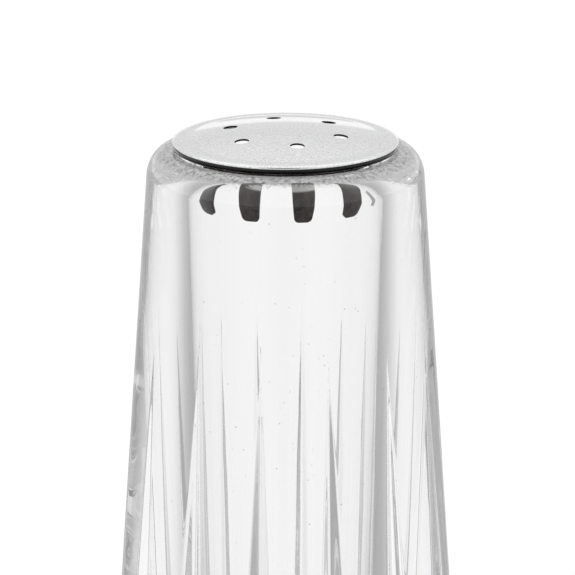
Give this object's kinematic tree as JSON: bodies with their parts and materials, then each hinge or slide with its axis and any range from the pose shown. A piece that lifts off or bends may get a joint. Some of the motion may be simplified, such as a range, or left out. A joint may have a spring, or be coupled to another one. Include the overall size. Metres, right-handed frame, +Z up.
{
  "type": "salt shaker",
  "caption": "Tapered clear-glass salt shaker, panelled by grooves that deepen to the base, with a push-in domed metal cap, perforated for sprinkling and held in the well by spring fingers.",
  "frame": {"origin": "centre of the foot ring, on the table, on the axis of the well", "axes": "+Z up along the well's axis; -Y is the side that the picture shows"},
  "size_m": [0.0392, 0.0392, 0.0802],
  "materials": {
    "clear_glass": "pressed and fire-polished, clear",
    "satin_steel": "pressed sheet, satin",
    "spring_steel": "plain rolled strip, dull"
  },
  "bodies": {
    "body": {"glass_body": "clear_glass"},
    "cap": {"cap_cover": "satin_steel", "spring_collar": "spring_steel"}
  },
  "joints": [
    {"name": "cap_lift", "type": "slide", "parent": "body", "child": "cap", "axis": [0, 0, 1], "range_m": [0, 0.03]}
  ]
}
